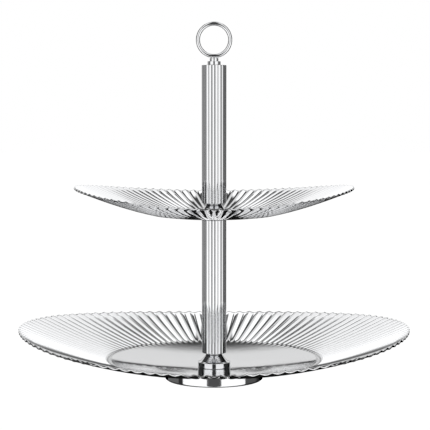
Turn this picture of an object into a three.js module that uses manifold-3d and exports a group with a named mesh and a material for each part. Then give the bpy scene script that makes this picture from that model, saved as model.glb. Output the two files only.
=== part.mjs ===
// Two-tier cake stand. Two round fluted steel plates are clamped between the sections of a
// reeded centre post. A ring handle screws into the top of the post, and a low round foot
// carries the stack on a non-slip pad.
// Millimetres, +Z up. The origin is the centre of the foot, on the table. The front is -Y,
// and each plate's rim is highest where it crosses the X axis.

import * as THREE from "three";
import { mergeVertices } from "three/addons/utils/BufferGeometryUtils.js";
import Module from "manifold-3d";

// Clearances
const seatGap = 0.1; // between faces that are clamped or bonded together
const pressGap = 0.1; // round a piece that is pressed into a bore
const threadGap = 0.1; // round a thread, drawn as a plain shank in a plain bore
const passGap = 0.6; // round a shank that passes freely through a hole

// Threads
const mainThreadRadius = 3;
const mainEngagement = 10;
const ringThreadRadius = 2;
const ringEngagement = 6;
const threadChamfer = 0.5;

// Foot
const footRadius = 42.8;
const footHeight = 9.3;
const footWall = 1.2;
const footEdgeRadius = 1;
const padProud = 0.6;
const padThickness = 2.4;
const padWidth = 8;
const footGasketRadius = 20;
const footGasketThickness = 0.4;

// Screw under the foot, with its washers
const headRadius = 5.4;
const headHeight = 2.6;
const socketAcrossFlats = 4;
const socketDepth = 1.5;
const flatWasherRadius = 9;
const flatWasherThickness = 0.8;
const lockWasherRadius = 5.6;
const lockWasherThickness = 1.2;
const lockWasherSplit = 0.35; // radians

// Plates: a flat seat in the middle, a smooth disc round it, then flutes out to the rim
const lowerPlate = {
  radius: 170,
  sheet: 0.8,
  seatRadius: 16,
  discRadius: 89,
  rimRise: 24.1,
  endRise: 11.8,
  dishPower: 1.65,
  fluteCount: 106,
  fluteDepth: 1.4,
  fluteOnset: 8,
};
const upperPlate = {
  radius: 121.6,
  sheet: 0.7,
  seatRadius: 15,
  discRadius: 48,
  rimRise: 16.4,
  endRise: 10.7,
  dishPower: 1.65,
  fluteCount: 96,
  fluteDepth: 1.1,
  fluteOnset: 6,
};
const endRisePower = 1.25; // how the rim's extra rise at its two ends grows outwards
const seatWasherRadius = 9;
const seatWasherThickness = 1.1;

// Collar at the foot of each post section
const collarHeight = 12.4;
const collarNeckRadius = 6.6;
const collarFlareRadius = 12.2;
const collarFlangeRadius = 14.4;
const collarFlangeHeight = 4.6;
const collarLedgeRise = 0.5;
const flarePower = 1.4;
const collarEdge = 0.35;
const collarGasketRadius = 9.5;
const collarGasketThickness = 0.8;
const collarRecessWall = 0.6; // play between the gasket's edge and its recess

// Post sections
const lowerPostLength = 116.75;
const upperPostLength = 119.55;
const postRadius = 10.7;
const reedCount = 16;
const reedDepth = 0.34;
const reedPhase = THREE.MathUtils.degToRad(-5.2); // one groove's angle from the front
const postWall = 1.5; // from the bottom of a groove to the bore
const insertLength = 14;

// Ring handle
const ringOuterRadius = 15.7;
const ringWireRadius = 1.75;
const neckBaseRadius = 5.6;
const neckBaseHeight = 3.2;
const neckTopRadius = 3.7;
const neckTopHeight = 2.7;
const neckStudDepth = 3.6;

// Facets
const footSegments = 48;
const collarSegments = 28;
const shankSegments = 16;
const stepsPerReed = 4;
const flareSteps = 4;
const ringSteps = 36;
const wireSegments = 8;

// Heights of the stack, from the table up
const footInnerTop = footHeight - footWall;
const lowerPlateBottom = footHeight + footGasketThickness + 2 * seatGap;
const lowerCollarBottom = lowerPlateBottom + lowerPlate.sheet + seatGap;
const lowerPostBottom = lowerCollarBottom + collarHeight + seatGap;
const lowerPostTop = lowerPostBottom + lowerPostLength;
const upperPlateBottom = lowerPostTop + seatWasherThickness + 2 * seatGap;
const upperCollarBottom = upperPlateBottom + upperPlate.sheet + seatGap;
const upperPostBottom = upperCollarBottom + collarHeight + seatGap;
const upperPostTop = upperPostBottom + upperPostLength;
const neckBottom = upperPostTop + seatGap;
const neckTop = neckBottom + neckBaseHeight + neckTopHeight;
const ringCentreHeight = neckTop + seatGap + ringOuterRadius;

const postBore = postRadius - reedDepth - postWall;
const passBore = mainThreadRadius + passGap;
const threadBore = mainThreadRadius + threadGap;

const wasm = await Module();
wasm.setup();

const group = new THREE.Group();

function addPiece(name, geometry, color, roughness, metalness) {
  const material = new THREE.MeshStandardMaterial({ color, roughness, metalness });
  const mesh = new THREE.Mesh(geometry, material);
  mesh.name = name;
  group.add(mesh);
  return mesh;
}

function addPolished(name, geometry) {
  return addPiece(name, geometry, 0xdfe1e4, 0.08, 1);
}

function addTurned(name, geometry) {
  return addPiece(name, geometry, 0xb9bcc0, 0.35, 1);
}

function addRubber(name, geometry) {
  return addPiece(name, geometry, 0x2a2b2d, 0.85, 0);
}

// A solid of revolution about Z from [radius, height] pairs. The outline runs anticlockwise:
// outwards along the bottom, up, and back inwards along the top.
function revolve(outline, segments) {
  const points = outline.map(([radius, height]) => new THREE.Vector2(radius, height));
  return new THREE.LatheGeometry(points, segments).rotateX(Math.PI / 2);
}

function ringOutline(inner, outer, bottom, top) {
  return [
    [inner, bottom],
    [outer, bottom],
    [outer, top],
    [inner, top],
    [inner, bottom],
  ];
}

function shankOutline(radius, bottom, top) {
  return [
    [0, bottom],
    [radius - threadChamfer, bottom],
    [radius, bottom + threadChamfer],
    [radius, top - threadChamfer],
    [radius - threadChamfer, top],
    [0, top],
  ];
}

function solidOf(geometry) {
  const plain = geometry.clone();
  plain.deleteAttribute("normal");
  plain.deleteAttribute("uv");
  const merged = mergeVertices(plain, 1e-4);
  return new wasm.Manifold(
    new wasm.Mesh({
      numProp: 3,
      vertProperties: merged.attributes.position.array,
      triVerts: new Uint32Array(merged.index.array),
    }),
  );
}

function geometryOf(solid) {
  const mesh = solid.getMesh();
  const geometry = new THREE.BufferGeometry();
  geometry.setAttribute("position", new THREE.BufferAttribute(mesh.vertProperties, 3));
  geometry.setIndex(new THREE.BufferAttribute(mesh.triVerts, 1));
  geometry.computeVertexNormals();
  return geometry;
}

// Foot: a shallow cup pressed from sheet, mouth down, with a rounded lower edge.
function footShell() {
  const outline = [
    [footRadius - footWall, padProud],
    [footRadius - footEdgeRadius, padProud],
    [footRadius, padProud + footEdgeRadius],
    [footRadius, footHeight - footEdgeRadius],
    [footRadius - footEdgeRadius, footHeight],
    [passBore, footHeight],
    [passBore, footInnerTop],
    [footRadius - footWall, footInnerTop],
    [footRadius - footWall, padProud],
  ];
  return revolve(outline, footSegments);
}

// Button-head screw, driven from below through a hexagonal socket.
function baseScrew(headTop, shankTop) {
  const headBottom = headTop - headHeight;
  const outline = [
    [0, headBottom],
    [0.7 * headRadius, headBottom],
    [0.93 * headRadius, headBottom + 0.35 * headHeight],
    [headRadius, headBottom + 0.8 * headHeight],
    [headRadius, headTop],
    [mainThreadRadius, headTop],
    [mainThreadRadius, shankTop - threadChamfer],
    [mainThreadRadius - threadChamfer, shankTop],
    [0, shankTop],
  ];
  const socketRadius = socketAcrossFlats / Math.sqrt(3);
  const cutDepth = 2 * socketDepth;
  const socket = new THREE.CylinderGeometry(socketRadius, socketRadius, cutDepth, 6);
  socket.rotateX(Math.PI / 2).translate(0, 0, headBottom);
  const body = solidOf(revolve(outline, shankSegments));
  return geometryOf(body.subtract(solidOf(socket)));
}

// Split spring washer: a ring with one narrow slot.
function lockWasher(bottom) {
  const inner = mainThreadRadius + threadGap;
  const start = lockWasherSplit / 2;
  const end = 2 * Math.PI - lockWasherSplit / 2;
  const shape = new THREE.Shape();
  shape.absarc(0, 0, lockWasherRadius, start, end, false);
  shape.absarc(0, 0, inner, end, start, true);
  const options = { depth: lockWasherThickness, bevelEnabled: false, curveSegments: shankSegments };
  return new THREE.ExtrudeGeometry(shape, options).translate(0, 0, bottom);
}

// How far a plate's surface stands above its middle at a radius and an angle from the front.
function plateRise(plate, radius, angle) {
  const fromSeat = Math.max(0, radius - plate.seatRadius) / (plate.radius - plate.seatRadius);
  const dish = plate.rimRise * Math.pow(fromSeat, plate.dishPower);
  const outward = Math.max(0, radius - plate.discRadius);
  const share = outward / (plate.radius - plate.discRadius);
  const ends = plate.endRise * Math.sin(angle) ** 2 * Math.pow(share, endRisePower);
  const depth = plate.fluteDepth * Math.min(1, outward / plate.fluteOnset) * (radius / plate.radius);
  const flutes = -0.5 * depth * Math.cos(plate.fluteCount * angle);
  return dish + ends + flutes;
}

// Plate: one pressed sheet with a hole in the middle. A groove of the flutes points to the front.
function plateSheet(plate, bottom) {
  const middleOfFlutes = (plate.discRadius + plate.radius) / 2;
  const radii = [passBore, plate.seatRadius, plate.discRadius, middleOfFlutes, plate.radius];
  const under = radii.map((radius) => [radius, 0]);
  const over = radii.map((radius) => [radius, plate.sheet]).reverse();
  const geometry = revolve([...under, ...over, under[0]], 2 * plate.fluteCount);
  const position = geometry.attributes.position;
  for (let i = 0; i < position.count; i += 1) {
    const x = position.getX(i);
    const y = position.getY(i);
    const rise = plateRise(plate, Math.hypot(x, y), Math.atan2(x, -y));
    position.setZ(i, position.getZ(i) + bottom + rise);
  }
  geometry.computeVertexNormals();
  return geometry;
}

// Collar: a turned bell with a narrow neck, a hollow flare and an upright flange.
// Its underside is recessed for the gasket that bears on the plate.
function collar(bottom) {
  const recessTop = bottom + collarGasketThickness + seatGap;
  const recessRadius = collarGasketRadius + collarRecessWall;
  const flangeTop = bottom + collarFlangeHeight;
  const flareBottom = flangeTop + collarLedgeRise;
  const flareHeight = bottom + collarHeight - flareBottom;
  const flare = [];
  for (let i = 0; i <= flareSteps; i += 1) {
    const share = i / flareSteps;
    const spread = (collarFlareRadius - collarNeckRadius) * (1 - share) ** flarePower;
    const radius = collarNeckRadius + spread;
    flare.push([radius, flareBottom + share * flareHeight]);
  }
  const outline = [
    [passBore, recessTop],
    [recessRadius, recessTop],
    [recessRadius, bottom],
    [collarFlangeRadius - collarEdge, bottom],
    [collarFlangeRadius, bottom + collarEdge],
    [collarFlangeRadius, flangeTop - collarEdge],
    [collarFlangeRadius - collarEdge, flangeTop],
    ...flare,
    [passBore, bottom + collarHeight],
    [passBore, recessTop],
  ];
  return revolve(outline, collarSegments);
}

// Post section: a tube whose outside is a ring of shallow round reeds.
function reededTube(bottom, length) {
  const grooveRadius = postRadius - reedDepth;
  const steps = reedCount * stepsPerReed;
  const shape = new THREE.Shape();
  for (let i = 0; i < steps; i += 1) {
    const across = (2 * (i % stepsPerReed)) / stepsPerReed - 1;
    const radius = grooveRadius + reedDepth * (1 - across * across);
    const angle = reedPhase - Math.PI / 2 + (2 * Math.PI * i) / steps;
    const x = radius * Math.cos(angle);
    const y = radius * Math.sin(angle);
    if (i === 0) shape.moveTo(x, y);
    else shape.lineTo(x, y);
  }
  shape.closePath();
  const bore = new THREE.Path();
  bore.absarc(0, 0, postBore, 0, 2 * Math.PI, true);
  shape.holes.push(bore);
  const options = { depth: length, bevelEnabled: false, curveSegments: collarSegments };
  return new THREE.ExtrudeGeometry(shape, options).translate(0, 0, bottom);
}

// Threaded insert, pressed flush into the end of a post section.
function insert(bottom, boreRadius) {
  const radius = postBore - pressGap;
  return revolve(ringOutline(boreRadius, radius, bottom, bottom + insertLength), collarSegments);
}

// Foot group
const padRadius = footRadius - footWall - pressGap;
const padOutline = ringOutline(padRadius - padWidth, padRadius, 0, padThickness);
const flatWasherBottom = footInnerTop - seatGap - flatWasherThickness;
const lockWasherBottom = flatWasherBottom - seatGap - lockWasherThickness;
const screwHeadTop = lockWasherBottom - seatGap;
const screwTop = lowerPostBottom + mainEngagement;
const flatWasherOutline = ringOutline(
  mainThreadRadius + threadGap,
  flatWasherRadius,
  flatWasherBottom,
  flatWasherBottom + flatWasherThickness,
);
const footGasketOutline = ringOutline(
  passBore,
  footGasketRadius,
  footHeight + seatGap,
  footHeight + seatGap + footGasketThickness,
);
addPolished("foot_shell", footShell());
addRubber("foot_pad", revolve(padOutline, footSegments));
addTurned("base_screw", baseScrew(screwHeadTop, screwTop));
addTurned("base_lock_washer", lockWasher(lockWasherBottom));
addTurned("base_flat_washer", revolve(flatWasherOutline, shankSegments));
addRubber("foot_gasket", revolve(footGasketOutline, collarSegments));

// Lower plate, and the collar and post section that clamp it
function collarGasketOutline(collarBottom) {
  return ringOutline(passBore, collarGasketRadius, collarBottom, collarBottom + collarGasketThickness);
}
addPolished("lower_plate", plateSheet(lowerPlate, lowerPlateBottom));
addRubber("lower_collar_gasket", revolve(collarGasketOutline(lowerCollarBottom), shankSegments));
addPolished("lower_collar", collar(lowerCollarBottom));
addPolished("lower_post", reededTube(lowerPostBottom, lowerPostLength));
addTurned("lower_post_bottom_insert", insert(lowerPostBottom, threadBore));
addTurned("lower_post_top_insert", insert(lowerPostTop - insertLength, threadBore));

// Middle stud and the washer under the upper plate
const studBottom = lowerPostTop - mainEngagement;
const studTop = upperPostBottom + mainEngagement;
const seatWasherBottom = lowerPostTop + seatGap;
const seatWasherOutline = ringOutline(
  passBore,
  seatWasherRadius,
  seatWasherBottom,
  seatWasherBottom + seatWasherThickness,
);
addTurned("middle_stud", revolve(shankOutline(mainThreadRadius, studBottom, studTop), shankSegments));
addRubber("upper_plate_seat_washer", revolve(seatWasherOutline, shankSegments));

// Upper plate, and the collar and post section that clamp it
addPolished("upper_plate", plateSheet(upperPlate, upperPlateBottom));
addRubber("upper_collar_gasket", revolve(collarGasketOutline(upperCollarBottom), shankSegments));
addPolished("upper_collar", collar(upperCollarBottom));
addPolished("upper_post", reededTube(upperPostBottom, upperPostLength));
addTurned("upper_post_bottom_insert", insert(upperPostBottom, threadBore));
addTurned(
  "upper_post_top_insert",
  insert(upperPostTop - insertLength, ringThreadRadius + threadGap),
);

// Ring handle: a stud and a stepped neck under a round wire ring that faces the front
const ringStudTop = neckBottom + neckStudDepth;
const neckOutline = [
  [ringThreadRadius + threadGap, neckBottom],
  [neckBaseRadius, neckBottom],
  [neckBaseRadius, neckBottom + neckBaseHeight],
  [neckTopRadius, neckBottom + neckBaseHeight],
  [neckTopRadius, neckTop],
  [0, neckTop],
  [0, ringStudTop + seatGap],
  [ringThreadRadius + threadGap, ringStudTop + seatGap],
  [ringThreadRadius + threadGap, neckBottom],
];
const ringStudOutline = shankOutline(ringThreadRadius, upperPostTop - ringEngagement, ringStudTop);
const ringGeometry = new THREE.TorusGeometry(
  ringOuterRadius - ringWireRadius,
  ringWireRadius,
  wireSegments,
  ringSteps,
);
addTurned("ring_stud", revolve(ringStudOutline, shankSegments));
addPolished("ring_neck", revolve(neckOutline, shankSegments));
const ring = addPolished("ring_handle", ringGeometry);
ring.rotation.x = Math.PI / 2;
ring.position.z = ringCentreHeight;

export default group;
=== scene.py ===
import math

import bmesh
import bpy
from mathutils import Matrix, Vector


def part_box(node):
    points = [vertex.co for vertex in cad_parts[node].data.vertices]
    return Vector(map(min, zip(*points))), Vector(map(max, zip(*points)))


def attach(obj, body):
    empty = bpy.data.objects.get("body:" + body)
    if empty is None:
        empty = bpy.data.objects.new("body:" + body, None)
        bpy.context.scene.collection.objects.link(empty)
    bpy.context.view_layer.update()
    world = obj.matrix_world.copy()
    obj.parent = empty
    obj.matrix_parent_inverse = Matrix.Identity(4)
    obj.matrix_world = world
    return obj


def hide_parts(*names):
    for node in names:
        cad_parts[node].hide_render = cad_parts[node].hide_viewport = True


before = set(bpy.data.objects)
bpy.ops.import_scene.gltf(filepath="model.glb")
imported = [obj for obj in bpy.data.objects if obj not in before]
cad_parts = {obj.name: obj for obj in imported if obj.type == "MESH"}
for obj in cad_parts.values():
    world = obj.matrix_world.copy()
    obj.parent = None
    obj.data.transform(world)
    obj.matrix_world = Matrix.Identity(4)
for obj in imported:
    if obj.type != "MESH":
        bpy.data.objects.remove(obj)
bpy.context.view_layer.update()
mm = 0.001
scene = bpy.context.scene


# ---- Studio: camera, light and floor ----
# The camera faces the stand from the front, level with the upper post section, and looks slightly
# down. A room of white panels and dark cards is what polished steel mirrors.

class Value:
    """One number that runs between shader nodes. Sums on it add their Math nodes."""

    def __init__(self, finish, socket):
        self.finish = finish
        self.socket = socket

    def sum(self, operation, first, second):
        return self.finish.node("ShaderNodeMath", {"operation": operation}, {0: first, 1: second})

    def __add__(self, other):
        return self.sum("ADD", self, other)

    def __radd__(self, other):
        return self.sum("ADD", other, self)

    def __sub__(self, other):
        return self.sum("SUBTRACT", self, other)

    def __rsub__(self, other):
        return self.sum("SUBTRACT", other, self)

    def __mul__(self, other):
        return self.sum("MULTIPLY", self, other)

    def __rmul__(self, other):
        return self.sum("MULTIPLY", other, self)

    def __truediv__(self, other):
        return self.sum("DIVIDE", self, other)

    def __pow__(self, other):
        return self.sum("POWER", self, other)


class Finish:
    """A shader node tree that is wired up by calls to node()."""

    def __init__(self, tree):
        self.tree = tree
        tree.nodes.clear()

    def node(self, kind, settings=None, inputs=None, output=0):
        made = self.tree.nodes.new(kind)
        for name, setting in (settings or {}).items():
            setattr(made, name, setting)
        for name, given in (inputs or {}).items():
            if isinstance(given, Value):
                self.tree.links.new(given.socket, made.inputs[name])
            else:
                made.inputs[name].default_value = given
        return Value(self, made.outputs[output]) if made.outputs else made


def between(finish, value, low, high):
    """0 below low, 1 above high, and a smooth step between them."""
    settings = {"interpolation_type": "SMOOTHSTEP"}
    return finish.node("ShaderNodeMapRange", settings, {0: value, 1: low, 2: high})


camera_height = 240.3 * mm
camera_distance = 1253 * mm
camera_side = 0.8 * mm
camera_pitch = math.radians(4.385)
camera_data = bpy.data.cameras.new("camera")
camera_data.sensor_width = 36
camera_data.lens = 120.7
camera = bpy.data.objects.new("camera", camera_data)
camera.location = (camera_side, -camera_distance, camera_height)
camera.rotation_euler = (math.pi / 2 - camera_pitch, 0, 0)
scene.collection.objects.link(camera)
scene.camera = camera
scene.view_settings.view_transform = "Standard"

floor_mesh = bmesh.new()
bmesh.ops.create_circle(floor_mesh, cap_ends=True, radius=6, segments=64)
floor_data = bpy.data.meshes.new("floor")
floor_mesh.to_mesh(floor_data)
floor_mesh.free()
floor = bpy.data.objects.new("floor", floor_data)
scene.collection.objects.link(floor)

floor_data.materials.append(bpy.data.materials.new("floor_paper"))
floor_data.materials[0].use_nodes = True
paper = Finish(floor_data.materials[0].node_tree)
rays = paper.node("ShaderNodeLightPath").socket.node
seen = Value(paper, rays.outputs["Is Camera Ray"])
mirrored = Value(paper, rays.outputs["Is Glossy Ray"])
shading = Value(paper, rays.outputs["Is Shadow Ray"])
plain = paper.node("ShaderNodeBsdfDiffuse", {}, {"Color": (0.8, 0.8, 0.8, 1)})
clear = paper.node("ShaderNodeBsdfTransparent", {}, {"Color": (1, 1, 1, 1)})
unseen = paper.node("ShaderNodeMixShader", {}, {0: mirrored + shading, 1: plain, 2: clear})
glow = paper.node("ShaderNodeEmission", {}, {"Color": (1, 1, 1, 1), "Strength": 1.0})
lit = paper.node("ShaderNodeBsdfDiffuse", {}, {"Color": (0.06, 0.06, 0.06, 1)})
bright = paper.node("ShaderNodeAddShader", {}, {0: glow, 1: lit})
mixed = paper.node("ShaderNodeMixShader", {}, {0: seen, 1: unseen, 2: bright})
paper.node("ShaderNodeOutputMaterial", {}, {"Surface": mixed})

world = bpy.data.worlds.new("studio")
world.use_nodes = True
scene.world = world
room = Finish(world.node_tree)
direction = room.node("ShaderNodeTexCoord", output="Generated")
split = room.node("ShaderNodeSeparateXYZ", {}, {0: direction}).socket.node
side, depth, up = [Value(room, socket) for socket in split.outputs]
azimuth = room.node("ShaderNodeMath", {"operation": "ARCTAN2"}, {0: side, 1: 0 - depth})
round_it = room.node("ShaderNodeMath", {"operation": "ABSOLUTE"}, {0: azimuth}) / math.radians(1)
rise = room.node("ShaderNodeMath", {"operation": "ARCSINE"}, {0: up}) / math.radians(1)
on_right = between(room, azimuth, -0.2, 0.2)


def within(value, low, high, soft):
    """1 between two places, falling to 0 over a soft edge outside each."""
    return between(room, value, low - soft, low) * (1 - between(room, value, high, high + soft))


# The angles are in degrees: round from the camera's side to the back, and up from the horizon.
# Tall cards stand at both sides and low ones at the back, with a slot in the middle of each side.
low_down = 1 - between(room, rise, -10.8, -10.2)
side_cards = within(round_it - 8 * low_down, 72, 143, 3) * (1 - between(room, rise, 56, 66))
low_cards = between(room, round_it, 143, 150) * (1 - between(room, rise, 9.2, 10.2))
dark_middle = between(room, round_it, 169, 176)
below = 1 - between(room, rise, -14, -6)
middle_slot = within(round_it - 4 * low_down, -4, 12, 2) * (1 - between(room, rise, 62, 75))
back_slot = between(room, round_it, 173, 177) * within(rise, 31, 41, 4)
back_rail = between(room, round_it, 155, 168) * between(room, rise, 20.5, 27)
back_rail = back_rail * (1 - between(room, rise, 30.5, 32.5))
back_wall = between(room, round_it, 143, 150) * within(rise, 10.3, 27, 1)
under_back = between(room, round_it, 135, 150) * (1 - between(room, rise, -20, -9))
# A level is how brightly a part of the room shines. In the list, each part covers those before it.
left_card = 0.3 - 0.23 * within(round_it, 76, 90, 4)
right_card = 0.2 - 0.17 * between(room, round_it, 110, 128)
card = left_card + on_right * (right_card - left_card)
card = card * (1 - 0.85 * between(room, rise, 3, 9))
card = (card + dark_middle * (0.04 - card)) * (1 - 0.8 * below)
level = 1.3 - 0.15 * (1 - between(room, round_it, 148, 160)) * between(room, rise, -9, -3)
level = level - 0.25 * between(room, rise, 40, 50) - 0.7 * between(room, rise, 66, 74)
for part, part_level in (
    (back_wall, 0.8),
    (back_rail, 0.06),
    (under_back, 0.16),
    (side_cards + low_cards, card),
    (back_slot, 0.03),
    (middle_slot, 0.04 + 0.07 * below),
):
    level = level + part * (part_level - level)
seen = room.node("ShaderNodeLightPath", output="Is Camera Ray")
studio = room.node("ShaderNodeBackground", {}, {"Color": (1, 1, 1, 1), "Strength": level})
backdrop = room.node("ShaderNodeBackground", {}, {"Color": (1, 1, 1, 1), "Strength": 1.0})
mixed = room.node("ShaderNodeMixShader", {}, {0: seen, 1: studio, 2: backdrop})
room.node("ShaderNodeOutputWorld", {}, {"Surface": mixed})


# ---- Foot pad ----
# A ring of matt black rubber bonded into the mouth of the foot, standing a little proud of the
# steel edge so that the stand doesn't slide or scratch. Moulded, with two shallow grooves.

def round_edges(mesh, width):
    """Rounds every edge that turns by more than 35 degrees."""
    least = math.radians(35)
    edges = [e for e in mesh.edges if len(e.link_faces) == 2 and e.calc_face_angle() > least]
    bmesh.ops.bevel(
        mesh,
        geom=edges,
        offset=width,
        affect="EDGES",
        segments=2,
        profile=0.5,
        material=-1,
        clamp_overlap=True,
    )


def held(outline, closed):
    """Adds a point close to each end of every long stretch, which keeps it straight to the eye."""
    near = 0.15 * mm
    found = []
    pairs = list(zip(outline, outline[1:] + outline[:1]))
    for start, end in pairs if closed else pairs[:-1]:
        found.append(start)
        length = math.dist(start, end)
        if length > 4 * near:
            for share in (near / length, 1 - near / length):
                found.append(tuple(a + share * (b - a) for a, b in zip(start, end)))
    return found if closed else found + outline[-1:]


def turned(outline, steps, closed=True):
    """A solid of revolution about Z from (radius, height) points, as a bmesh."""
    outline = held(outline, closed)
    mesh = bmesh.new()
    points = [mesh.verts.new((radius, 0, height)) for radius, height in outline]
    edges = [mesh.edges.new(pair) for pair in zip(points, points[1:])]
    if closed:
        edges.append(mesh.edges.new((points[-1], points[0])))
    bmesh.ops.spin(
        mesh,
        geom=points + edges,
        cent=(0, 0, 0),
        axis=(0, 0, 1),
        angle=2 * math.pi,
        steps=steps,
        use_merge=True,
    )
    bmesh.ops.remove_doubles(mesh, verts=mesh.verts, dist=1e-7)
    bmesh.ops.recalc_face_normals(mesh, faces=mesh.faces)
    return mesh


def piece(name, mesh, node, body, material):
    """Makes a finished piece that moves with its body and stands for a CAD node, if it has one."""
    data = bpy.data.meshes.new(name)
    for face in mesh.faces:
        face.smooth = True
    mesh.to_mesh(data)
    mesh.free()
    data.set_sharp_from_angle(angle=math.radians(32))
    data.materials.append(material)
    made = bpy.data.objects.new(name, data)
    scene.collection.objects.link(made)
    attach(made, body)
    if node:
        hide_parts(node)


def new_finish(name):
    """A material with an empty tree, and its tree."""
    material = bpy.data.materials.new(name)
    material.use_nodes = True
    return material, Finish(material.node_tree)


def blend(finish, share, first, second):
    """A colour that goes from the first to the second as the share goes from 0 to 1."""
    settings = {"data_type": "RGBA"}
    return finish.node("ShaderNodeMix", settings, {0: share, 6: first, 7: second}, output=2)


def surface(finish, inputs):
    """Ends a material's tree in one shader with these inputs."""
    shader = finish.node("ShaderNodeBsdfPrincipled", {}, inputs)
    finish.node("ShaderNodeOutputMaterial", {}, {"Surface": shader})


def black_rubber():
    """Matt black rubber: a fine moulded grain and a few dusty patches."""
    material, finish = new_finish("black_rubber")
    place = finish.node("ShaderNodeTexCoord", output="Object")
    grain = finish.node("ShaderNodeTexNoise", {}, {"Vector": place, "Scale": 1800, "Detail": 4})
    dust = finish.node("ShaderNodeTexNoise", {}, {"Vector": place, "Scale": 60, "Detail": 5})
    dusty = between(finish, dust, 0.5, 0.75)
    colour = blend(finish, dusty, clean_rubber, dusty_rubber)
    bump = finish.node(
        "ShaderNodeBump", {}, {"Height": grain, "Strength": 0.5, "Distance": 0.1 * mm}
    )
    surface(finish, {"Base Color": colour, "Roughness": 0.6 + 0.25 * dusty, "Normal": bump})
    return material


clean_rubber = (0.012, 0.012, 0.013, 1)
dusty_rubber = (0.04, 0.039, 0.037, 1)
rubber = black_rubber()
pad_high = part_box("foot_pad")[1]
pad_width = 8 * mm
pad_groove = 0.8 * mm
pad_outer = pad_high.x
pad_inner = pad_outer - pad_width
pad_outline = [(pad_inner, pad_high.z), (pad_inner, 0)]
for share in (0.3, 0.7):
    middle = pad_inner + share * pad_width
    pad_outline += [
        (middle - pad_groove, 0),
        (middle - 0.5 * pad_groove, 0.5 * pad_groove),
        (middle + 0.5 * pad_groove, 0.5 * pad_groove),
        (middle + pad_groove, 0),
    ]
pad_outline += [(pad_outer, 0), (pad_outer, pad_high.z)]
pad_mesh = turned(pad_outline, steps=120)
round_edges(pad_mesh, 0.2 * mm)
piece("rubber_pad", pad_mesh, "foot_pad", "foot", rubber)


# ---- Foot ----
# A shallow cup pressed from steel sheet, mouth down, with an upright polished band and softly
# rounded edges. One screw through its middle holds it against the plate.

def arc(centre, radius, start, end, steps):
    """Points on an arc of an outline, from one angle to another, in degrees."""
    found = []
    for i in range(steps + 1):
        angle = math.radians(start + (end - start) * i / steps)
        found.append((centre[0] + radius * math.cos(angle), centre[1] + radius * math.sin(angle)))
    return found


def polished_steel(name, lines):
    """Mirror-polished stainless steel. Its faint polishing lines run round or along the piece,
    and light finger smears make some patches a little less clear."""
    material, finish = new_finish(name)
    place = finish.node("ShaderNodeTexCoord", output="Object")
    smear = finish.node(
        "ShaderNodeTexNoise", {}, {"Vector": place, "Scale": 38, "Detail": 6, "Distortion": 0.6}
    )
    smeared = between(finish, smear, 0.48, 0.72)
    stretched = finish.node("ShaderNodeMapping", {}, {"Vector": place, "Scale": lines})
    hairs = finish.node(
        "ShaderNodeTexNoise", {}, {"Vector": stretched, "Scale": 1, "Detail": 3, "Roughness": 0.7}
    )
    bump = finish.node(
        "ShaderNodeBump", {}, {"Height": hairs, "Strength": 0.05, "Distance": 0.02 * mm}
    )
    colour = blend(finish, smear, bright_steel, greyer_steel)
    roughness = 0.045 + 0.05 * smeared + 0.02 * hairs
    surface(
        finish, {"Base Color": colour, "Metallic": 1, "Roughness": roughness, "Normal": bump}
    )
    return material


bright_steel = (0.83, 0.835, 0.845, 1)
greyer_steel = (0.79, 0.795, 0.805, 1)
round_lines = (30, 30, 2500)
steel_turned = polished_steel("polished_steel_turned", round_lines)
foot_low, foot_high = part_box("foot_shell")
foot_wall = 1.2 * mm
foot_edge = 1.0 * mm
foot_hole = 3.6 * mm
foot_radius = foot_high.x
foot_outline = [(foot_hole, foot_high.z), (foot_hole, foot_high.z - foot_wall)]
foot_outline += arc(
    (foot_radius - 2 * foot_wall, foot_high.z - 2 * foot_wall), foot_wall, 90, 0, 5
)
foot_outline += [(foot_radius - foot_wall, foot_low.z)]
foot_outline += arc((foot_radius - foot_edge, foot_low.z + foot_edge), foot_edge, -90, 0, 5)
foot_outline += arc((foot_radius - foot_edge, foot_high.z - foot_edge), foot_edge, 0, 90, 5)
foot_mesh = turned(foot_outline, steps=160)
piece("foot_cup", foot_mesh, "foot_shell", "foot", steel_turned)


# ---- Screw under the foot, its washers and the foot gasket ----
# A button-head steel screw is driven up through the foot with a hex key, on a flat washer and a
# split spring washer. A thin rubber gasket lies between the foot and the plate.

def cut_flat(mesh, height, direction):
    """Cuts off what lies past a height, up (1) or down (-1), and closes the cut."""
    everything = mesh.verts[:] + mesh.edges[:] + mesh.faces[:]
    bmesh.ops.bisect_plane(
        mesh,
        geom=everything,
        dist=1e-7,
        plane_co=(0, 0, height),
        plane_no=(0, 0, direction),
        clear_outer=True,
    )
    cut = [e for e in mesh.edges if e.is_boundary and abs(e.verts[0].co.z - height) < 1e-6]
    bmesh.ops.holes_fill(mesh, edges=cut, sides=0)


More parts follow.
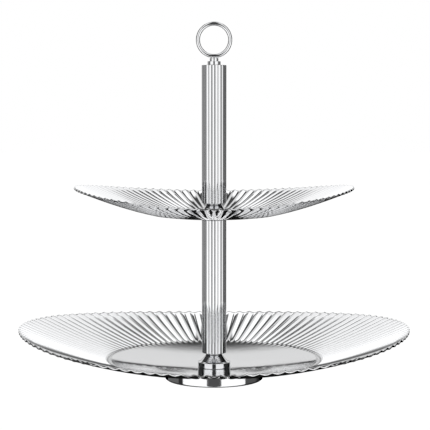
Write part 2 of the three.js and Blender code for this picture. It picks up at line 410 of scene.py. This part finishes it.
def threaded(radius, pitch, low, high, steps):
    """A threaded rod along Z, chamfered at both ends, as a bmesh. One pitch of the thread's
    outline is swept up a helix and the ends are cut flat."""
    root = radius - 0.6 * pitch
    chamfer = 0.7 * pitch
    outline = [(root, 0), (radius, 0.4), (radius, 0.52), (root, 0.92), (root, 1)]
    turns = math.ceil((high - low) / pitch) + 2
    mesh = bmesh.new()
    points = [mesh.verts.new((r, 0, low + (share - 1) * pitch)) for r, share in outline]
    edges = [mesh.edges.new(pair) for pair in zip(points, points[1:])]
    bmesh.ops.spin(
        mesh,
        geom=points + edges,
        cent=(0, 0, 0),
        axis=(0, 0, 1),
        dvec=(0, 0, pitch / steps),
        angle=2 * math.pi * turns,
        steps=steps * turns,
        use_merge=False,
    )
    bmesh.ops.remove_doubles(mesh, verts=mesh.verts, dist=1e-6)
    cut_flat(mesh, low, -1)
    cut_flat(mesh, high, 1)
    for vert in mesh.verts:
        from_end = min(vert.co.z - low, high - vert.co.z)
        most = radius - max(0, chamfer - from_end)
        reach = math.hypot(vert.co.x, vert.co.y)
        if reach > most:
            vert.co.xy *= most / reach
    bmesh.ops.recalc_face_normals(mesh, faces=mesh.faces)
    return mesh


def join(mesh, other):
    """Adds another bmesh's faces to a bmesh and frees the other."""
    carrier = bpy.data.meshes.new("carrier")
    other.to_mesh(carrier)
    other.free()
    mesh.from_mesh(carrier)
    bpy.data.meshes.remove(carrier)


def turned_steel():
    """Steel as the lathe leaves it: fine rings round the piece, duller than the polished work,
    with some darker patches of old cutting oil."""
    material, finish = new_finish("turned_steel_bare")
    place = finish.node("ShaderNodeTexCoord", output="Object")
    stretched = finish.node("ShaderNodeMapping", {}, {"Vector": place, "Scale": (60, 60, 5000)})
    rings = finish.node("ShaderNodeTexNoise", {}, {"Vector": stretched, "Scale": 1, "Detail": 3})
    stain = finish.node("ShaderNodeTexNoise", {}, {"Vector": place, "Scale": 150, "Detail": 5})
    stained = between(finish, stain, 0.5, 0.72)
    bump = finish.node(
        "ShaderNodeBump", {}, {"Height": rings, "Strength": 0.3, "Distance": 0.03 * mm}
    )
    colour = blend(finish, stained, clean_turned, oily_turned)
    roughness = 0.24 + 0.12 * stained + 0.08 * rings
    surface(
        finish, {"Base Color": colour, "Metallic": 1, "Roughness": roughness, "Normal": bump}
    )
    return material


clean_turned = (0.6, 0.6, 0.605, 1)
oily_turned = (0.43, 0.425, 0.415, 1)
bare_steel = turned_steel()
screw_radius = 3 * mm
screw_pitch = 1 * mm
head_radius = 5.4 * mm
head_height = 2.6 * mm
socket_across_flats = 4 * mm
socket_depth = 1.5 * mm
drill_point = 0.3 * mm
mouth_depth = 0.25 * mm
mouth_width = 0.35 * mm
head_flat = 0.6 * head_radius
head_brim = 0.3 * mm
screw_low, screw_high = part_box("base_screw")
head_top = screw_low.z + head_height
socket_top = screw_low.z + socket_depth
socket_flat = 0.5 * socket_across_flats
head_outline = [
    (0, socket_top + drill_point),
    (socket_flat, socket_top),
    (socket_flat, screw_low.z + mouth_depth),
    (socket_flat + mouth_width, screw_low.z),
    (head_flat, screw_low.z),
]
head_outline += arc((head_flat, head_top - head_brim), head_radius - head_flat, -90, 0, 8)[1:]
head_outline += [(head_radius, head_top), (0, head_top)]
screw_mesh = turned(head_outline, steps=48, closed=False)
for vert in screw_mesh.verts:
    reach = math.hypot(vert.co.x, vert.co.y)
    if 0.5 * socket_flat < reach < socket_flat + 0.1 * mm:
        from_flat = (math.atan2(vert.co.y, vert.co.x) + math.pi / 6) % (math.pi / 3) - math.pi / 6
        vert.co.xy *= 1 / math.cos(from_flat)
join(screw_mesh, threaded(screw_radius, screw_pitch, head_top, screw_high.z, 28))
piece("button_screw", screw_mesh, "base_screw", "foot", bare_steel)

spring_low, spring_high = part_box("base_lock_washer")
spring_split = 0.35
spring_inner = 3.1 * mm
spring_outer = spring_high.y
spring_mesh = bmesh.new()
corners = [
    (spring_inner, spring_low.z),
    (spring_outer, spring_low.z),
    (spring_outer, spring_high.z),
    (spring_inner, spring_high.z),
]
section = spring_mesh.faces.new([spring_mesh.verts.new((r, 0, z)) for r, z in corners])
bmesh.ops.rotate(
    spring_mesh,
    verts=spring_mesh.verts,
    matrix=Matrix.Rotation(0.5 * spring_split, 3, "Z"),
)
bmesh.ops.spin(
    spring_mesh,
    geom=spring_mesh.edges[:],
    cent=(0, 0, 0),
    axis=(0, 0, 1),
    angle=2 * math.pi - spring_split,
    steps=60,
)
bmesh.ops.holes_fill(spring_mesh, edges=[e for e in spring_mesh.edges if e.is_boundary], sides=0)
bmesh.ops.recalc_face_normals(spring_mesh, faces=spring_mesh.faces)
round_edges(spring_mesh, 0.12 * mm)
piece("spring_washer", spring_mesh, "base_lock_washer", "foot", bare_steel)


def washer(node, body, inner, material, edge):
    """A flat ring with softened edges, in the place of a CAD ring."""
    low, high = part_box(node)
    outer = high.x
    outline = [(inner, low.z), (outer, low.z), (outer, high.z), (inner, high.z)]
    mesh = turned(outline, steps=72)
    round_edges(mesh, edge)
    piece(node + "_ring", mesh, node, body, material)


pass_bore = 3.6 * mm
thread_bore = 3.1 * mm
washer("base_flat_washer", "foot", thread_bore, bare_steel, 0.12 * mm)
washer("foot_gasket", "foot", pass_bore, rubber, 0.08 * mm)


# ---- Plates ----
# Two round dishes pressed from one sheet of stainless steel each: a flat seat, a smooth polished
# disc and a border of radial flutes that run out to a beaded, wavy rim. Both are mirror polished.

end_rise_power = 1.25
steps_per_flute = 10


def flute_profile(share):
    """Height, 0 to 1, across one flute: a round groove in the middle and a sharp crest."""
    round_width = 0.25
    across = abs((share + 0.5) % 1 - 0.5)
    crest = math.hypot(0.5, round_width) - round_width
    return (math.hypot(across, round_width) - round_width) / crest


def plate_rise(plate, radius, angle):
    """How far the sheet stands above its seat, at a radius and an angle from the front."""
    reach = plate["radius"]
    from_seat = max(0, radius - plate["seat"]) / (reach - plate["seat"])
    dish = plate["rim_rise"] * from_seat ** plate["dish_power"]
    outward = max(0, radius - plate["disc"])
    ends = plate["end_rise"] * math.sin(angle) ** 2
    ends *= (outward / (reach - plate["disc"])) ** end_rise_power
    onset = min(1, outward / plate["onset"])
    onset = onset * onset * (3 - 2 * onset)
    depth = plate["depth"] * onset * min(1, radius / reach)
    flutes = depth * (flute_profile(plate["flutes"] * angle / (2 * math.pi)) - 0.5)
    return dish + ends + flutes


def spaced(start, end, count):
    """Evenly spaced radii after the start, with the end as the last of them."""
    return [start + (end - start) * i / count for i in range(1, count + 1)]


def plate_mesh(plate, bottom):
    """The pressed sheet as one closed wall, its rim rolled into a bead."""
    sheet = plate["sheet"]
    bead = plate["bead"]
    reach = plate["radius"] - bead
    full_flutes = plate["disc"] + plate["onset"]
    radii = [pass_bore] + spaced(pass_bore, plate["seat"], 2)
    radii += spaced(plate["seat"], plate["disc"], 12)
    radii += spaced(plate["disc"], full_flutes, 6)
    radii += spaced(full_flutes, reach, 8)[:-1]
    radii.append(reach - 1.3 * bead)
    outline = [(radius, 0) for radius in radii]
    outline += arc((reach, 0.5 * sheet), bead, -140, 140, 7)
    outline += [(radius, sheet) for radius in reversed(radii)]
    flutes = plate["flutes"]
    mesh = bmesh.new()
    points = [mesh.verts.new((0, -radius, height)) for radius, height in outline]
    edges = [mesh.edges.new(pair) for pair in zip(points, points[1:] + points[:1])]
    bmesh.ops.spin(
        mesh,
        geom=points + edges,
        cent=(0, 0, 0),
        axis=(0, 0, 1),
        angle=2 * math.pi / flutes,
        steps=steps_per_flute,
    )
    bmesh.ops.spin(
        mesh,
        geom=mesh.verts[:] + mesh.edges[:] + mesh.faces[:],
        cent=(0, 0, 0),
        axis=(0, 0, 1),
        angle=2 * math.pi * (flutes - 1) / flutes,
        steps=flutes - 1,
        use_duplicate=True,
    )
    bmesh.ops.remove_doubles(mesh, verts=mesh.verts, dist=1e-6)
    bmesh.ops.recalc_face_normals(mesh, faces=mesh.faces)
    for vert in mesh.verts:
        radius = math.hypot(vert.co.x, vert.co.y)
        angle = math.atan2(vert.co.x, -vert.co.y)
        vert.co.z += bottom + plate_rise(plate, min(radius, plate["radius"]), angle)
    return mesh


def plate_steel(name, disc):
    """Polished steel sheet. The disc keeps the rings of its polishing and fine scuffs from use;
    the flutes are brighter, since nothing slides on them."""
    material, finish = new_finish(name)
    place = finish.node("ShaderNodeTexCoord", output="Object")
    split = finish.node("ShaderNodeSeparateXYZ", {}, {0: place}).socket.node
    x, y = [Value(finish, split.outputs[axis]) for axis in "XY"]
    radius = (x * x + y * y) ** 0.5
    on_disc = 1 - between(finish, radius, disc - 1 * mm, disc + 3 * mm)
    along = finish.node("ShaderNodeCombineXYZ", {}, {0: radius * 2600, 1: x * 25, 2: y * 25})
    rings = finish.node(
        "ShaderNodeTexNoise", {}, {"Vector": along, "Scale": 1, "Detail": 3, "Roughness": 0.7}
    )
    scuffs = []
    for turn in (0.5, 1.7, 2.6):
        slanted = finish.node(
            "ShaderNodeMapping",
            {},
            {"Vector": place, "Rotation": (0, 0, turn), "Scale": (18, 1400, 18)},
        )
        hair = finish.node("ShaderNodeTexNoise", {}, {"Vector": slanted, "Scale": 1, "Detail": 1})
        scuffs.append(between(finish, hair, 0.7, 0.78))
    scuffed = scuffs[0] + scuffs[1] + scuffs[2]
    smear = finish.node(
        "ShaderNodeTexNoise", {}, {"Vector": place, "Scale": 26, "Detail": 6, "Distortion": 0.8}
    )
    smeared = between(finish, smear, 0.48, 0.72)
    buckled = finish.node("ShaderNodeTexNoise", {}, {"Vector": place, "Scale": 55, "Detail": 2})
    height = on_disc * (rings - 0.6 * scuffed + 16 * buckled)
    bump = finish.node(
        "ShaderNodeBump", {}, {"Height": height, "Strength": 1, "Distance": 0.004 * mm}
    )
    colour = blend(finish, smear, bright_steel, greyer_steel)
    roughness = 0.03 + 0.025 * smeared + on_disc * (0.015 + 0.03 * rings + 0.05 * scuffed)
    surface(
        finish, {"Base Color": colour, "Metallic": 1, "Roughness": roughness, "Normal": bump}
    )
    return material


lower_plate = {
    "radius": 170 * mm,
    "sheet": 0.8 * mm,
    "bead": 0.75 * mm,
    "seat": 16 * mm,
    "disc": 89 * mm,
    "rim_rise": 24.1 * mm,
    "end_rise": 11.8 * mm,
    "dish_power": 1.65,
    "flutes": 106,
    "depth": 1.4 * mm,
    "onset": 8 * mm,
}
upper_plate = {
    "radius": 121.6 * mm,
    "sheet": 0.7 * mm,
    "bead": 0.65 * mm,
    "seat": 15 * mm,
    "disc": 48 * mm,
    "rim_rise": 16.4 * mm,
    "end_rise": 10.7 * mm,
    "dish_power": 1.65,
    "flutes": 96,
    "depth": 1.1 * mm,
    "onset": 6 * mm,
}
for name, plate in (("lower_plate", lower_plate), ("upper_plate", upper_plate)):
    sheet_mesh = plate_mesh(plate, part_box(name)[0].z)
    sheet_steel = plate_steel(name + "_steel", plate["disc"])
    piece(name + "_sheet", sheet_mesh, name, name, sheet_steel)


# ---- Collars ----
# At the foot of each post section a turned steel bell spreads the clamping load over the plate.
# It has a narrow neck, a slightly hollow flare and an upright flange, and sits on a rubber gasket.

collar_neck = 6.6 * mm
collar_flare = 12.2 * mm
collar_flange = 14.4 * mm
flange_height = 4.6 * mm
ledge_rise = 0.5 * mm
flare_power = 1.4
flare_steps = 16
collar_edge = 0.45 * mm
neck_chamfer = 0.25 * mm
gasket_radius = 9.5 * mm
gasket_height = 0.8 * mm
gasket_side_gap = 0.6 * mm
gasket_top_gap = 0.1 * mm
for tier in ("lower", "upper"):
    body = tier + "_post"
    low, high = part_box(tier + "_collar")
    recess_top = low.z + gasket_height + gasket_top_gap
    recess = gasket_radius + gasket_side_gap
    flange_top = low.z + flange_height
    flare_bottom = flange_top + ledge_rise
    outline = [(pass_bore, recess_top), (recess, recess_top), (recess, low.z)]
    outline += arc((collar_flange - collar_edge, low.z + collar_edge), collar_edge, -90, 0, 4)
    outline += arc((collar_flange - collar_edge, flange_top - collar_edge), collar_edge, 0, 75, 4)
    for step in range(flare_steps + 1):
        share = step / flare_steps
        radius = collar_neck + (collar_flare - collar_neck) * (1 - share) ** flare_power
        outline.append((radius, flare_bottom + share * (high.z - flare_bottom)))
    outline[-1] = (collar_neck - neck_chamfer, high.z)
    outline.append((pass_bore, high.z))
    collar_mesh = turned(outline, steps=96)
    piece(tier + "_bell", collar_mesh, tier + "_collar", body, steel_turned)
    gasket = tier + "_collar_gasket"
    washer(gasket, body, pass_bore, rubber, 0.12 * mm)


# ---- Post sections and their inserts ----
# Each section is a length of drawn steel tube with sixteen round reeds, polished lengthways. A
# turned steel insert with a tapped hole is pressed into each end, flush with the tube.

reed_count = 16
steps_per_reed = 12
post_radius = 10.7 * mm
groove_radius = 10.36 * mm
post_bore = 8.86 * mm
post_edge = 0.35 * mm
reed_phase = math.radians(-5.2)
ring_thread_radius = 2 * mm
ring_thread_bore = 2.1 * mm
ring_pitch = 0.7 * mm
long_lines = (2200, 2200, 14)
steel_drawn = polished_steel("polished_steel_drawn", long_lines)


def reeded_tube(bottom, top):
    """A tube with a ring of shallow round reeds, its bore plain and its ends softened."""
    outline = [(post_bore, bottom)]
    outline += arc((post_radius - post_edge, bottom + post_edge), post_edge, -90, 0, 3)
    outline += arc((post_radius - post_edge, top - post_edge), post_edge, 0, 90, 3)
    outline.append((post_bore, top))
    steps = reed_count * steps_per_reed
    mesh = turned(outline, steps)
    for vert in mesh.verts:
        radius = math.hypot(vert.co.x, vert.co.y)
        if radius < 0.5 * (post_bore + post_radius):
            continue
        step = round(math.atan2(vert.co.y, vert.co.x) / (2 * math.pi) * steps) % steps
        across = 2 * (step % steps_per_reed) / steps_per_reed - 1
        lowered = (post_radius - groove_radius) * across * across
        vert.co.xy *= (radius - lowered) / radius
    bmesh.ops.rotate(mesh, verts=mesh.verts, matrix=Matrix.Rotation(reed_phase, 3, "Z"))
    return mesh


def insert_mesh(node, bore, pitch):
    """A plug with a tapped hole and chamfered mouths."""
    low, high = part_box(node)
    outer = high.x
    edge = 0.3 * mm
    outline = [(bore + edge, low.z), (outer - edge, low.z), (outer, low.z + edge)]
    outline += [(outer, high.z - edge), (outer - edge, high.z), (bore + edge, high.z)]
    crests = int((high.z - low.z - 2 * edge) / pitch)
    for turn in range(crests):
        top = high.z - edge - turn * pitch
        outline += [(bore, top), (bore, top - 0.15 * pitch), (bore + 0.5 * pitch, top - 0.55 * pitch)]
    outline.append((bore, low.z + edge))
    return turned(outline, steps=48)


for tier in ("lower", "upper"):
    body = tier + "_post"
    low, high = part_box(body)
    tube_mesh = reeded_tube(low.z, high.z)
    piece(tier + "_reeded_tube", tube_mesh, body, body, steel_drawn)
for node, body, bore, pitch in (
    ("lower_post_bottom_insert", "lower_thread", thread_bore, screw_pitch),
    ("lower_post_top_insert", "lower_post", thread_bore, screw_pitch),
    ("upper_post_bottom_insert", "upper_thread", thread_bore, screw_pitch),
    ("upper_post_top_insert", "upper_post", ring_thread_bore, ring_pitch),
):
    plug_mesh = insert_mesh(node, bore, pitch)
    piece(node + "_plug", plug_mesh, node, body, bare_steel)


# ---- Middle stud and the washer under the upper plate ----
# A threaded steel stud is locked into the top of the lower section; the upper plate, its collar
# and the upper section go on over it. The plate rests on a rubber washer.

stud_low, stud_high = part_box("middle_stud")
stud_mesh = threaded(screw_radius, screw_pitch, stud_low.z, stud_high.z, 28)
piece("threaded_stud", stud_mesh, "middle_stud", "lower_post", bare_steel)
washer("upper_plate_seat_washer", "lower_post", pass_bore, rubber, 0.15 * mm)


# ---- Neck and stud of the ring handle ----
# A stepped steel neck, turned and polished, stands on the post's top face. A short threaded stud
# is fixed in it from below and screws into the post.

neck_base = 5.6 * mm
neck_base_height = 3.2 * mm
neck_top = 3.7 * mm
neck_edge = 0.3 * mm
stud_gap = 0.1 * mm
neck_low, neck_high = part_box("ring_neck")
ring_stud_low, ring_stud_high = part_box("ring_stud")
step_height = neck_low.z + neck_base_height
hole_top = ring_stud_high.z + stud_gap
neck_outline = [(0, hole_top), (ring_thread_bore, hole_top), (ring_thread_bore, neck_low.z)]
neck_outline += arc((neck_base - neck_edge, neck_low.z + neck_edge), neck_edge, -90, 0, 3)
neck_outline += arc((neck_base - neck_edge, step_height - neck_edge), neck_edge, 0, 90, 3)
neck_outline += arc((neck_top + neck_edge, step_height + neck_edge), neck_edge, 270, 180, 3)
neck_outline += arc((neck_top - neck_edge, neck_high.z - neck_edge), neck_edge, 0, 90, 3)
neck_outline += [(0, neck_high.z)]
neck_mesh = turned(neck_outline, steps=72, closed=False)
piece("stepped_neck", neck_mesh, "ring_neck", "ring_handle", steel_turned)
ring_stud_mesh = threaded(
    ring_thread_radius, ring_pitch, ring_stud_low.z, ring_stud_high.z, 24
)
piece("ring_thread_stud", ring_stud_mesh, "ring_stud", "ring_thread", bare_steel)


# ---- Ring handle ----
# A round steel wire is bent to a ring, butt welded and polished. It faces the front and is brazed
# upright onto the neck; the braze is dressed to a small hollow fillet.

wire_radius = 1.75 * mm
ring_low, ring_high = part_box("ring_handle")
ring_centre = 0.5 * (ring_low.z + ring_high.z)
ring_radius = 0.5 * (ring_high.z - ring_low.z) - wire_radius
ring_mesh = bmesh.new()
bmesh.ops.create_circle(ring_mesh, radius=wire_radius, segments=24)
bmesh.ops.translate(ring_mesh, verts=ring_mesh.verts, vec=(ring_radius, 0, 0))
bmesh.ops.spin(
    ring_mesh,
    geom=ring_mesh.edges[:],
    cent=(0, 0, 0),
    axis=(0, 1, 0),
    angle=2 * math.pi,
    steps=120,
    use_merge=True,
)
bmesh.ops.remove_doubles(ring_mesh, verts=ring_mesh.verts, dist=1e-7)
bmesh.ops.translate(ring_mesh, verts=ring_mesh.verts, vec=(0, 0, ring_centre))
bmesh.ops.recalc_face_normals(ring_mesh, faces=ring_mesh.faces)
piece("wire_ring", ring_mesh, "ring_handle", "ring_handle", steel_turned)

braze_radius = 3.3 * mm
braze_hollow = 1.5 * mm
braze_bottom = neck_high.z - 0.2 * mm
braze_outline = [(0, braze_bottom), (braze_radius, braze_bottom), (braze_radius, neck_high.z)]
braze_outline += arc((braze_radius, neck_high.z + braze_hollow), braze_hollow, 270, 190, 5)[1:]
braze_outline += [(0, braze_outline[-1][1])]
braze_mesh = turned(braze_outline, steps=48, closed=False)
piece("braze_fillet", braze_mesh, None, "ring_handle", steel_turned)
